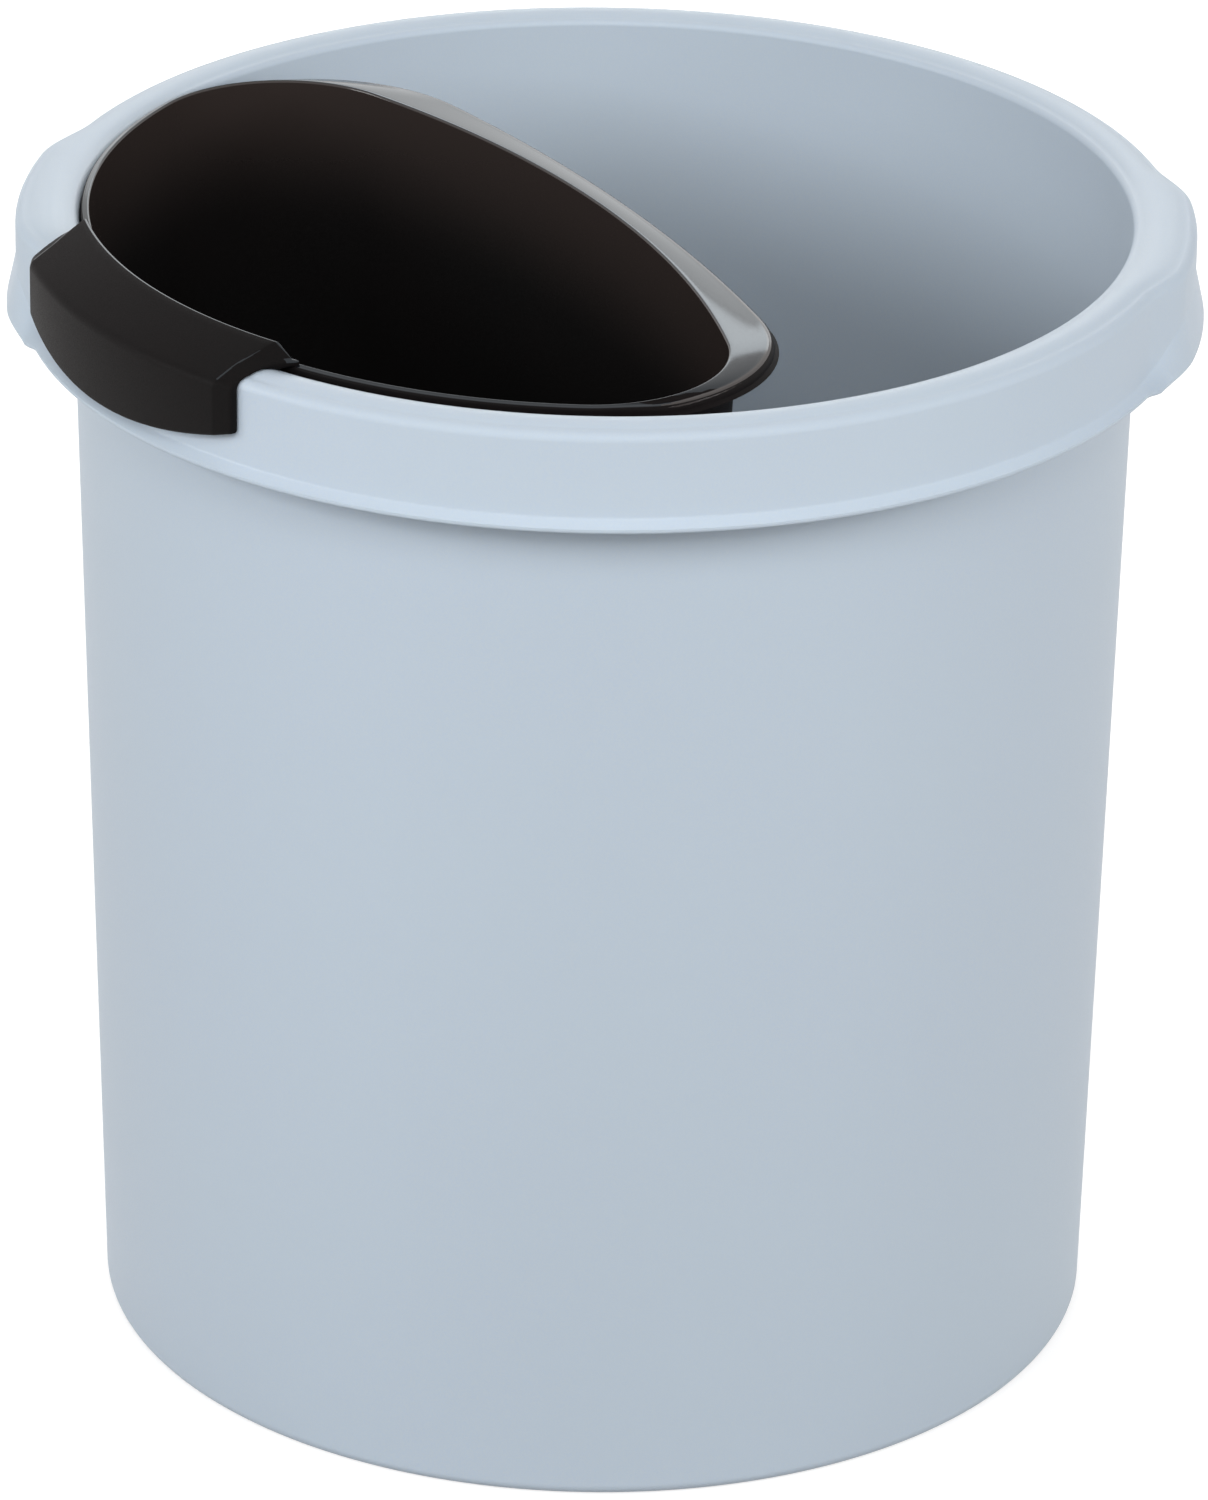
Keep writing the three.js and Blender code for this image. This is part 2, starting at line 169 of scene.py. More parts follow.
# Floor and light: lengths in metres
FLOOR_RADIUS = 9.0
FLOOR_SIDES = 64
FLOOR_COLOUR = (0.42, 0.42, 0.42)
GLOW_NEAR = 0.5
GLOW_FAR = 2.2
GLOW_LOW = 0.69
GLOW_HIGH = 1.0
AMBIENT_COLOUR = (0.98, 0.99, 1.0)
AMBIENT_STRENGTH = 0.03
LAMP_AIM = 0.33

# Camera: the azimuth is in degrees, and the tilt and roll are in radians. The distance is a
# number of rim heights. Clipping is in metres and the sensor in millimetres. The focal length
# and the frame's height and offset are in the photo's pixels.
CAMERA_AZIMUTH = 4.2
CAMERA_TILT = 0.4379
CAMERA_ROLL = 0.0137
CAMERA_RIM_HEIGHTS = 8.193
CLIP_NEAR = 0.05
CLIP_FAR = 60.0
SENSOR = 36.0
FOCAL_PIXELS = 9487.0
FRAME_HEIGHT = 1500.0
FRAME_OFFSET = (-4.74, -4.38)

# Places that follow from the sizes
RIM_OUTER_RADIUS = MOUTH_RADIUS + PAIL_WALL
TAPER = (RIM_OUTER_RADIUS - BASE_RADIUS) / RIM_HEIGHT
FLOOR_TOP = FOOT_RECESS + FLOOR_WALL
LIP_LOW = RIM_HEIGHT - COLLAR_DROP
CROWN_TOP = RIM_HEIGHT + CROWN_RISE
FLANGE_LEVEL = RIM_HEIGHT + LIP_PROUD
FLANGE_OUTER = MOUTH_RADIUS - RIM_CLEARANCE
OPENING_OUTER = FLANGE_OUTER - EDGE_WIDTH
TUB_BOTTOM = FLANGE_LEVEL - TUB_DEPTH
TUB_CENTRE = (OPENING_OUTER - OPENING_APEX) / 2
TUB_DRAFT = math.tan(math.radians(TUB_DRAFT_ANGLE))
OPENING_PLAN = (OPENING_OUTER, OPENING_CHORD_RADIUS, OPENING_APEX, TUB_CORNER)
FLANGE_PLAN = (FLANGE_OUTER, FLANGE_CHORD_RADIUS, FLANGE_APEX, FLANGE_CORNER)
FLARE_PLAN = (
    FLANGE_OUTER,
    FLANGE_CHORD_RADIUS + FLANGE_FLARE,
    FLANGE_APEX + FLANGE_FLARE,
    FLANGE_CORNER,
)
COLLAR_SHOULDER = SKIRT_RADIUS - SHOULDER_ROUND
COLLAR_CROWN = (MOUTH_RADIUS + MOUTH_ROUND + COLLAR_SHOULDER) / 2
HOOK_TOP = RIM_HEIGHT + HOOK_RISE
HOOK_CREASE = RIM_HEIGHT - CREASE_DROP
HOOK_SLOPE = HOOK_TOP + (HOOK_CREASE - HOOK_TOP) * TOP_SLOPE_SHARE
HOOK_CHANNEL = SKIRT_RADIUS + HANG_GAP
HOOK_FACE = HOOK_CHANNEL + HOOK_SKIRT
HOOK_HALF_ANGLE = math.degrees(math.asin(HOOK_HALF_WIDTH / HOOK_CHANNEL))
HOOK_TURN = 180 + HOOK_START_ANGLE + HOOK_HALF_ANGLE
INSERT_TURN = HOOK_TURN - HOOK_OFFSET
CAMERA_DISTANCE = CAMERA_RIM_HEIGHTS * RIM_HEIGHT * MM


# Reckoning

def lerp(a, b, share):
    return a + (b - a) * share


def clamp(value):
    return min(1.0, max(0.0, value))


def smoothstep(value, low, high):
    share = clamp((value - low) / (high - low))
    return share * share * (3 - 2 * share)


def hump(share):
    """0 at both ends and 1 in the middle."""
    return 4 * share * (1 - share)


def steps(low, high, count):
    """Values from low up to, but not with, high."""
    return [lerp(low, high, k / count) for k in range(count)]


def angles(start, end, count):
    """Evenly spaced angles from start to end, given in degrees and returned in radians."""
    return [math.radians(lerp(start, end, k / count)) for k in range(count + 1)]


# Lines in a section: each point is a radius from the bin's axis and a height

def arc(r, z, radius, start, end, count=ROUND_STEPS):
    """An arc about a centre, from one angle to another in degrees."""
    return [(r + radius * math.cos(a), z + radius * math.sin(a)) for a in angles(start, end, count)]


def arch(inner, outer, z, rise, count):
    """The points between the two ends of an arched line."""
    shares = [k / count for k in range(1, count)]
    return [(lerp(inner, outer, share), z + rise * hump(share)) for share in shares]


def bend(start, corner, end, count=BEND_STEPS):
    """A rounded corner from start to end."""
    points = []
    for k in range(count + 1):
        t = k / count
        points.append(tuple(
            (1 - t) ** 2 * a + 2 * t * (1 - t) * b + t * t * c
            for a, b, c in zip(start, corner, end)
        ))
    return points


def curve(start, middle, end, count=ROUND_STEPS):
    """The parabola through three points, without the first of them."""
    (r1, z1), (r2, z2), (r3, z3) = start, middle, end
    points = []
    for k in range(1, count + 1):
        r = lerp(r1, r3, k / count)
        points.append((
            r,
            z1 * (r - r2) * (r - r3) / ((r1 - r2) * (r1 - r3))
            + z2 * (r - r1) * (r - r3) / ((r2 - r1) * (r2 - r3))
            + z3 * (r - r1) * (r - r2) / ((r3 - r1) * (r3 - r2)),
        ))
    return points


# Meshes

def skin(bm, rings, caps=False):
    """Joins rings of points with faces. A ring of one point is a pole; caps close the ends."""
    rows = [[bm.verts.new(Vector(p) * MM) for p in ring] for ring in rings]
    for lower, upper in zip(rows, rows[1:]):
        count = max(len(lower), len(upper))
        for i in range(count):
            j = (i + 1) % count
            corners = []
            for row, index in ((lower, i), (lower, j), (upper, j), (upper, i)):
                vert = row[index] if len(row) > 1 else row[0]
                if vert not in corners:
                    corners.append(vert)
            bm.faces.new(corners)
    if caps:
        bm.faces.new(list(reversed(rows[0])))
        bm.faces.new(rows[-1])


def add_object(name, data):
    obj = bpy.data.objects.new(name, data)
    bpy.context.collection.objects.link(obj)
    return obj


def mesh_object(name, bm, turn=0.0):
    """Its turn about the bin's axis goes into the mesh, so that the object stays unturned."""
    mesh = bpy.data.meshes.new(name)
    bm.transform(Matrix.Rotation(math.radians(turn), 4, "Z"))
    bm.to_mesh(mesh)
    bm.free()
    return add_object(name, mesh)


def apply_modifiers(obj):
    graph = bpy.context.evaluated_depsgraph_get()
    mesh = bpy.data.meshes.new_from_object(obj.evaluated_get(graph))
    old = obj.data
    obj.modifiers.clear()
    obj.data = mesh
    bpy.data.meshes.remove(old)
    mesh.name = obj.name


def combine(obj, other, operation):
    tool = obj.modifiers.new(operation.lower(), "BOOLEAN")
    tool.operation = operation
    tool.solver = "EXACT"
    tool.object = other
    apply_modifiers(obj)
    bpy.data.objects.remove(other)


def smooth(obj, sharp_angle):
    obj.data.shade_smooth()
    obj.data.set_sharp_from_angle(angle=math.radians(sharp_angle))


# Nodes

def feed(tree, node, feeds):
    """Sets a node's inputs. Each feed is a value or the socket that gives it."""
    for key, value in dict(feeds).items():
        if isinstance(value, bpy.types.NodeSocket):
            tree.links.new(value, node.inputs[key])
        else:
            node.inputs[key].default_value = value


def add(tree, kind, feeds=(), **settings):
    """Adds a node, and returns the first output that it has in use."""
    node = tree.nodes.new(kind)
    for key, value in settings.items():
        setattr(node, key, value)
    feed(tree, node, feeds)
    return next((output for output in node.outputs if output.enabled), None)


def reckon(tree, operation, *values):
    return add(tree, "ShaderNodeMath", enumerate(values), operation=operation)


def new_tree(name, sizes):
    """A geometry tree with a named input for each of its sizes."""
    tree = bpy.data.node_groups.new(name, "GeometryNodeTree")
    sockets = tree.interface
    sockets.new_socket("Geometry", in_out="INPUT", socket_type="NodeSocketGeometry")
    for label, kind in sizes.items():
        sockets.new_socket(label, in_out="INPUT", socket_type="NodeSocket" + kind)
    sockets.new_socket("Geometry", in_out="OUTPUT", socket_type="NodeSocketGeometry")
    return tree, tree.nodes.new("NodeGroupInput").outputs


def end_tree(tree, geometry, finish):
    """The last nodes of a geometry tree: plain geometry with its finish."""
    plain = add(tree, "GeometryNodeRealizeInstances", {"Geometry": geometry})
    done = add(tree, "GeometryNodeSetMaterial", {"Geometry": plain, "Material": finish})
    add(tree, "NodeGroupOutput", {"Geometry": done})


def run_tree(obj, tree, values):
    """Sets the tree's inputs by identifier, and keeps its result as a plain mesh."""
    modifier = obj.modifiers.new(tree.name, "NODES")
    modifier.node_group = tree
    for item in tree.interface.items_tree:
        if item.in_out == "INPUT" and item.name in values:
            modifier[item.identifier] = values[item.name]
    apply_modifiers(obj)


# The pail with its collar

def pail_radius(z):
    return BASE_RADIUS + TAPER * z


def flare(skirt, lip, flare_top):
    """The lip's outer edge, and up its slope to the skirt."""
    low = LIP_LOW + LIP_BAND
    share = LIP_FILLET / math.dist((skirt, flare_top), (lip, low))
    slope_end = (lerp(skirt, lip, share), lerp(flare_top, low, share))
    skirt_end = (skirt, flare_top + LIP_FILLET)
    return [(lip, low), *bend(slope_end, (skirt, flare_top), skirt_end, FILLET_STEPS)]


def pail_section(grip_share, tongue_share):
    """From the foot's centre up the outside, over the collar and down to the floor's centre.

    Both shares are 1 on a finger grip. Past its ends the lip runs on as a short tongue."""
    skirt = SKIRT_RADIUS + GRIP_PUSH * grip_share
    lip = SKIRT_RADIUS + LIP_REACH + GRIP_PUSH * lerp(grip_share, tongue_share, TONGUE_SHARE)
    flare_top = LIP_LOW + lerp(LIP_FLARE, GRIP_FLARE, grip_share)
    channel_top = RIM_HEIGHT - COLLAR_WALL
    root = channel_top - ROOT_ROUND
    shoulder = skirt - SHOULDER_ROUND
    foot_inner = BASE_RADIUS - FOOT_WIDTH
    floor_corner = FLOOR_TOP + FLOOR_ROUND
    inside = pail_radius(floor_corner) - PAIL_WALL
    mouth = MOUTH_RADIUS + MOUTH_ROUND
    bead = [
        (BEAD_RADIUS + BEAD_WIDTH / 2 * math.sin(a), FOOT_RECESS - BEAD_DEPTH * math.cos(a))
        for a in angles(-90, 90, BROAD_STEPS)
    ]
    flare_inside = [(r - COLLAR_WALL, z) for r, z in reversed(flare(skirt, lip, flare_top))]
    return [
        (0, FOOT_RECESS - GATE_DEPTH),
        (GATE_RADIUS, FOOT_RECESS - GATE_DEPTH),
        (GATE_RADIUS, FOOT_RECESS),
        *bead,
        (foot_inner - FOOT_DRAFT, FOOT_RECESS),
        (foot_inner, 0),
        *arc(pail_radius(BASE_ROUND) - BASE_ROUND, BASE_ROUND, BASE_ROUND, -90, 0),
        *arc(pail_radius(channel_top) + ROOT_ROUND, root, ROOT_ROUND, 180, 90),
        *arc(skirt - COLLAR_WALL - ROOT_ROUND, root, ROOT_ROUND, 90, 0),
        *flare_inside,
        (lip - COLLAR_WALL, LIP_LOW),
        *arc(lip - LIP_ROUND, LIP_LOW + LIP_ROUND, LIP_ROUND, -90, 0, BEND_STEPS),
        *flare(skirt, lip, flare_top),
        *arc(shoulder, RIM_HEIGHT - SHOULDER_ROUND, SHOULDER_ROUND, 0, 90, BROAD_STEPS),
        *arch(shoulder, mouth, RIM_HEIGHT, CROWN_RISE, BROAD_STEPS),
        *arc(mouth, RIM_HEIGHT - MOUTH_ROUND, MOUTH_ROUND, 90, 180, MOUTH_STEPS),
        *arc(inside - FLOOR_ROUND, floor_corner, FLOOR_ROUND, 0, -90, BROAD_STEPS),
        (0, FLOOR_TOP),
    ]


def turn_of_step(tree, step, count, even_share):
    """How far a step stands from the nearer grip, and its angle about the bin's axis.

    Each half turn has one grip in its middle, where the steps are closest together."""
    half_turns = reckon(tree, "DIVIDE", reckon(tree, "MULTIPLY", step, 2), count)
    grip = reckon(tree, "ROUND", half_turns)
    off = reckon(tree, "SUBTRACT", half_turns, grip)
    cube = reckon(tree, "MULTIPLY", reckon(tree, "POWER", reckon(tree, "ABSOLUTE", off), 3),
                  reckon(tree, "SIGN", off))
    uneven = reckon(tree, "MULTIPLY", reckon(tree, "SUBTRACT", 1, even_share), 4)
    eased = reckon(tree, "ADD", reckon(tree, "MULTIPLY", off, even_share),
                   reckon(tree, "MULTIPLY", cube, uneven))
    from_grip = reckon(tree, "MULTIPLY", reckon(tree, "ABSOLUTE", eased), math.pi)
    angle = reckon(tree, "MULTIPLY", reckon(tree, "ADD", grip, eased), math.pi)
    return from_grip, angle


def pail_tree():
    """Turns the section about the bin's axis, and pushes the collar out at the two grips."""
    tree, size = new_tree("turned_pail", {
        "Steps": "Int",
        "Even share": "Float",
        "Grip end angle": "Float",
        "Grip fade angle": "Float",
        "Tongue end angle": "Float",
        "Tongue fade angle": "Float",
        "Seam gap": "Float",
        "Plastic": "Material",
    })
    section = size["Geometry"]
    rows = add(tree, "GeometryNodeAttributeDomainSize", {"Geometry": section})
    turns = reckon(tree, "ADD", size["Steps"], 1)
    sheet = add(tree, "GeometryNodeMeshGrid", {"Vertices X": turns, "Vertices Y": rows})
    index = add(tree, "GeometryNodeInputIndex")
    step = add(tree, "FunctionNodeIntegerMath", {0: index, 1: rows}, operation="DIVIDE_FLOOR")
    place = add(tree, "FunctionNodeIntegerMath", {0: index, 1: rows}, operation="MODULO")
    from_grip, angle = turn_of_step(tree, step, size["Steps"], size["Even share"])

    def sample(field):
        return add(tree, "GeometryNodeSampleIndex",
                   {"Geometry": section, "Value": field, "Index": place},
                   data_type="FLOAT_VECTOR", domain="POINT")

    def pushed(point, name, end, fade):
        start = reckon(tree, "SUBTRACT", size[end], size[fade])
        share = add(tree, "ShaderNodeMapRange", {
            "Value": from_grip, "From Min": start, "From Max": size[end],
            "To Min": 1.0, "To Max": 0.0,
        }, interpolation_type="SMOOTHSTEP")
        named = add(tree, "GeometryNodeInputNamedAttribute", {"Name": name},
                    data_type="FLOAT_VECTOR")
        moved = add(tree, "ShaderNodeVectorMath", {0: sample(named), "Scale": share},
                    operation="SCALE")
        return add(tree, "ShaderNodeVectorMath", {0: point, 1: moved}, operation="ADD")

    point = sample(add(tree, "GeometryNodeInputPosition"))
    point = pushed(point, "grip", "Grip end angle", "Grip fade angle")
    point = pushed(point, "tongue", "Tongue end angle", "Tongue fade angle")
    turned = add(tree, "ShaderNodeVectorRotate", {"Vector": point, "Angle": angle},
                 rotation_type="Z_AXIS")
    shell = add(tree, "GeometryNodeSetPosition", {"Geometry": sheet, "Position": turned})
    closed = add(tree, "GeometryNodeMergeByDistance",
                 {"Geometry": shell, "Distance": size["Seam gap"]})
    end_tree(tree, closed, size["Plastic"])
    return tree


def make_pail():
    """The plain section is the mesh, and two attributes say how far a grip moves its points."""
    plain = pail_section(0, 0)
    mesh = bpy.data.meshes.new("pail")
    mesh.from_pydata([(r * MM, 0, z * MM) for r, z in plain], [], [])
    for name, shares in (("grip", (1, 0)), ("tongue", (0, 1))):
        moves = mesh.attributes.new(name, "FLOAT_VECTOR", "POINT")
        for item, (r, z), (far_r, far_z) in zip(moves.data, plain, pail_section(*shares)):
            item.vector = ((far_r - r) * MM, 0, (far_z - z) * MM)
    pail = add_object("pail", mesh)
    run_tree(pail, pail_tree(), {
        "Steps": PAIL_STEPS,
        "Even share": PAIL_EVEN_SHARE,
        "Grip end angle": math.radians(GRIP_END_ANGLE),
        "Grip fade angle": math.radians(GRIP_FADE_ANGLE),
        "Tongue end angle": math.radians(TONGUE_END_ANGLE),
        "Tongue fade angle": math.radians(TONGUE_FADE_ANGLE),
        "Seam gap": SEAM_GAP * MM,
        "Plastic": bin_plastic(),
    })
    smooth(pail, PAIL_SHARP_ANGLE)
    return pail


# The basket's tub and flange: a plan is a closed line of points seen from above

def plan_of(plan, inset):
    """An arc along the pail's wall, a shallow arc across the pail and two rounded corners.

    The inset draws all of them in alike, or outwards where it is below 0."""
    wall, chord, apex, corner = plan
    centre = chord - apex
    u = ((wall - corner) ** 2 - (chord - corner) ** 2 + centre ** 2) / (2 * centre)
    v = math.sqrt((wall - corner) ** 2 - u ** 2)
    wall_end = math.atan2(v, u)
    chord_end = math.atan2(v, u - centre)
    runs = (
        (0, 0, wall, -wall_end, wall_end, "wall"),
        (u, v, corner, wall_end, chord_end, "corner"),
        (centre, 0, chord, chord_end, 2 * math.pi - chord_end, "chord"),
        (u, -v, corner, -chord_end, -wall_end, "corner"),
    )
    points = []
    for x, y, radius, start, end, kind in runs:
        reach = radius - inset
        for angle in steps(start, end, PLAN_STEPS[kind]):
            points.append((x + reach * math.cos(angle), y + reach * math.sin(angle)))
    return points


def each(plan, value):
    """One value for each point of the plan, as a list has already."""
    return value if isinstance(value, list) else [value] * len(plan)


def level(plan, height):
    return [(x, y, z) for (x, y), z in zip(plan, each(plan, height))]


def between(plan, other, share):
    return [
        (lerp(a, c, s), lerp(b, d, s))
        for (a, b), (c, d), s in zip(plan, other, each(plan, share))
    ]


def tub_inset(z):
    return (FLANGE_LEVEL - z) * TUB_DRAFT


def bottom_round(floor, radius, wall):
    """Rings from a floor of the tub up into its side. The wall is 0 for the inside."""
    rings = []
    for a in angles(0, 90, TUB_ROUND_STEPS):
        inset = tub_inset(floor + radius) - wall + radius * (1 - math.sin(a))
        rings.append(level(plan_of(OPENING_PLAN, inset), floor + radius * (1 - math.cos(a))))
    return rings


def make_tub():
    """Rings from the bottom's centre up the outside, over the flange and down the inside."""
    edge_low = FLANGE_LEVEL - FLANGE_DEPTH
    shelf_low = FLANGE_LEVEL - FLANGE_WALL
    floor = TUB_BOTTOM + TUB_WALL
    outside = plan_of(OPENING_PLAN, tub_inset(shelf_low) - TUB_WALL)
    brim = plan_of(FLANGE_PLAN, 0)
    flared = plan_of(FLARE_PLAN, 0)
    widths = [math.dist(a, b) for a, b in zip(brim, outside)]
    # 0 where the flange is narrow, and 1 where it is wide enough to be hollow from below
    opens = [smoothstep(w, HOLLOW_WIDTH / 2, HOLLOW_WIDTH * 2) for w in widths]
    hollow = [lerp(edge_low + LEAST_HOLLOW, shelf_low, share) for share in opens]
    brim_top = [FLANGE_LEVEL - lerp(EDGE_FALL, FLANGE_FALL, share) for share in opens]
    rounds = [lerp(EDGE_ROUND, FLANGE_ROUND, share) for share in opens]
    edge_inner = between(brim, outside, [min(FLANGE_WALL, w / 2) / w for w in widths])
    flared_inner = [
        (x + c - a, y + d - b)
        for (x, y), (c, d), (a, b) in zip(edge_inner, flared, brim)
    ]
    drawn_in = plan_of(FLANGE_PLAN, FLANGE_ROUND)

    def brim_at(draw, fall):
        """A ring on the flange's rounded edge. Both are shares of its round: inwards and down."""
        plan = between(brim, drawn_in, [draw * r / FLANGE_ROUND for r in rounds])
        return level(plan, [z - r * fall for r, z in zip(rounds, brim_top)])

    rings = [
        [(TUB_CENTRE, 0, TUB_BOTTOM)],
        *bottom_round(TUB_BOTTOM, TUB_ROUND + TUB_WALL, TUB_WALL),
        level(outside, hollow),
        level(edge_inner, hollow),
        level(flared_inner, edge_low),
        level(flared, edge_low),
    ]
    for a in angles(0, 90, ROUND_STEPS):
        rings.append(brim_at(1 - math.cos(a), 1 - math.sin(a)))
    top_outer = [(x, y) for x, y, z in rings[-1]]
    top_inner = plan_of(OPENING_PLAN, -OPENING_ROUND)
    for share in steps(0, 1, ROUND_STEPS)[1:]:
        lift = FLANGE_CROWN * hump(share)
        height = [lerp(z, FLANGE_LEVEL, share) + lift * o for z, o in zip(brim_top, opens)]
        rings.append(level(between(top_outer, top_inner, share), height))
    for a in angles(0, 90, ROUND_STEPS):
        plan = plan_of(OPENING_PLAN, -OPENING_ROUND * (1 - math.sin(a)))
        rings.append(level(plan, FLANGE_LEVEL - OPENING_ROUND * (1 - math.cos(a))))
    rings += reversed(bottom_round(floor, TUB_ROUND, 0))
    rings.append([(TUB_CENTRE, 0, floor)])
    bm = bmesh.new()
    skin(bm, rings)
    return mesh_object("basket", bm, INSERT_TURN)


# The basket's hook

def hook_section(end, low):
    """end is 1 on the hook and falls to 0 over the chamfers; low is the lower edge's height."""
    face = HOOK_FACE - HOOK_CORNER * (1 - end)
    bed = CROWN_TOP + HANG_GAP
    edge = HOOK_EDGE_ROUND
    mouth = MOUTH_RADIUS + MOUTH_ROUND
    inner = OPENING_OUTER + EDGE_WIDTH

    def chamfered(high, under):
        return lerp(under + CHAMFER_WALL, high, end)

    crease_high = chamfered(HOOK_CREASE + CREASE_ROUND / 3, HOOK_CREASE - CHAMFER_WALL)
    crease = (face - CREASE_ROUND, crease_high)
    crown = (COLLAR_CROWN, chamfered(HOOK_SLOPE, bed))
    brow = (inner + HOOK_TOP_ROUND * end, chamfered(HOOK_TOP, bed))
    fall = (crown[1] - crease_high) / (crease[0] - crown[0])
    corner_low = crease_high - fall * CREASE_ROUND
    inner_low = (OPENING_OUTER + OPENING_ROUND, chamfered(bed + edge, FLANGE_LEVEL))
    inner_top = (inner, chamfered(HOOK_TOP - HOOK_TOP_ROUND, bed))
    return [
        ((OPENING_OUTER + FLANGE_OUTER) / 2, FLANGE_LEVEL - EDGE_ROUND * 2),
        (MOUTH_RADIUS - HANG_GAP, FLANGE_LEVEL - EDGE_FALL),
        (mouth, CROWN_TOP),
        *arch(mouth, COLLAR_SHOULDER, RIM_HEIGHT + HANG_GAP, CROWN_RISE, ROUND_STEPS),
        *arc(COLLAR_SHOULDER, RIM_HEIGHT - SHOULDER_ROUND, SHOULDER_ROUND + HANG_GAP, 90, 0),
        *arc(HOOK_CHANNEL + edge, low + edge, edge, 180, 270, FILLET_STEPS),
        *arc(face - edge, low + edge, edge, 270, 360, HOOK_EDGE_STEPS),
        *bend((face, corner_low - CREASE_ROUND), (face, corner_low), crease),
        *curve(crease, crown, brow),
        *bend(brow, (inner, brow[1]), inner_top)[1:],
        inner_low,
        (OPENING_OUTER + OPENING_ROUND / 2, FLANGE_LEVEL - OPENING_ROUND * 2),
    ]


def half_width_at(radius):
    """The hook is a little wider over the pail's mouth than in front of the collar."""
    inner = clamp((COLLAR_SHOULDER - radius) / (COLLAR_SHOULDER - MOUTH_RADIUS))
    return HOOK_HALF_WIDTH + HOOK_TOE * inner


def sweep(bm, stations):
    """Sections along the collar, between two parallel ends.

    Each station is a share of the half width, falling from end to end, and the section there."""
    rings = []
    for share, section in stations:
        ring = []
        for radius, z in section:
            across = share * half_width_at(radius)
            ring.append((math.sqrt(radius ** 2 - across ** 2), across, z))
        rings.append(ring)
    skin(bm, rings, caps=True)


def chamfer_end(from_end):
    """0 at the hook's end, 1 past the chamfer, with a small round between."""
    ramp = from_end / CHAMFER_LENGTH
    blend = CHAMFER_BLEND / CHAMFER_LENGTH
    if ramp <= 1 - blend:
        return ramp
    if ramp >= 1 + blend:
        return 1.0
    t = (ramp - 1 + blend) / (2 * blend)
    return 1 - blend * (1 - t) ** 2


def make_hook():
    blend_start = CHAMFER_LENGTH - CHAMFER_BLEND
    blend_end = CHAMFER_LENGTH + CHAMFER_BLEND
    offsets = [
        *steps(0, blend_start, CHAMFER_STEPS),
        *steps(blend_start, blend_end, CHAMFER_STEPS),
        *steps(blend_end, HOOK_HALF_WIDTH, HOOK_STEPS),
    ]
    half = [1 - offset / HOOK_HALF_WIDTH for offset in offsets]
    stations = []
    for share in (*half, 0.0, *(-s for s in reversed(half))):
        end = chamfer_end((1 - abs(share)) * HOOK_HALF_WIDTH)
        low = RIM_HEIGHT - HOOK_REACH - HOOK_DIP * (1 - share ** 2)
        stations.append((share, hook_section(end, low)))
    bm = bmesh.new()
    sweep(bm, stations)
    # The inner edge's round runs out to a point at both ends
    bmesh.ops.remove_doubles(bm, verts=bm.verts, dist=SEAM_GAP * MM)
    # Only the two caps have more than four corners
    cap_edges = [e for e in bm.edges if any(len(face.verts) > 4 for face in e.link_faces)]
    bmesh.ops.bevel(
        bm, geom=cap_edges, offset=CAP_BEVEL * MM, segments=CAP_STEPS, profile=0.5,
        affect="EDGES", clamp_overlap=True,
    )
    return mesh_object("hook", bm, HOOK_TURN)


def rim_pocket():
    """Section of a pocket under the hook's top."""
    fall = (COLLAR_SHOULDER - COLLAR_CROWN) / (HOOK_FACE - CREASE_ROUND - COLLAR_CROWN)
    inner = MOUTH_RADIUS + MOUTH_ROUND + HANG_GAP
    return [
        (inner, RIM_HEIGHT - HANG_GAP),
        (COLLAR_SHOULDER, RIM_HEIGHT - HANG_GAP),
        (COLLAR_SHOULDER, lerp(HOOK_SLOPE, HOOK_CREASE, fall) - POCKET_WALL),
        (COLLAR_CROWN, HOOK_SLOPE - POCKET_WALL),
        (inner, HOOK_TOP - POCKET_WALL),
    ]


def face_pocket():
    """Section of a pocket behind the hook's face."""
    low = RIM_HEIGHT - HOOK_REACH - HOOK_DIP - HANG_GAP
    high = RIM_HEIGHT - SHOULDER_ROUND - POCKET_WALL
    outer = HOOK_FACE - POCKET_WALL
    return [
        (SKIRT_RADIUS, low),
        (outer, low),
        (outer, high - HOOK_EDGE_ROUND),
        (outer - HOOK_EDGE_ROUND, high),
        (SKIRT_RADIUS, high),
    ]


def pocket_tree():
    """Repeats one pair of pockets about the bin's axis, with a rib between it and the next."""
    tree, size = new_tree("pocket_row", {
        "Count": "Int", "Angle apart": "Float", "Turn": "Float", "Plastic": "Material",
    })
    points = add(tree, "GeometryNodePoints", {"Count": size["Count"]})
    index = add(tree, "GeometryNodeInputIndex")
    middle = reckon(tree, "DIVIDE", reckon(tree, "SUBTRACT", size["Count"], 1), 2)
    from_middle = reckon(tree, "SUBTRACT", index, middle)
    angle = reckon(tree, "ADD", reckon(tree, "MULTIPLY", from_middle, size["Angle apart"]),
                   size["Turn"])
    about_axis = add(tree, "ShaderNodeCombineXYZ", {"Z": angle})
    row = add(tree, "GeometryNodeInstanceOnPoints",
              {"Points": points, "Instance": size["Geometry"], "Rotation": about_axis})
    end_tree(tree, row, size["Plastic"])
    return tree


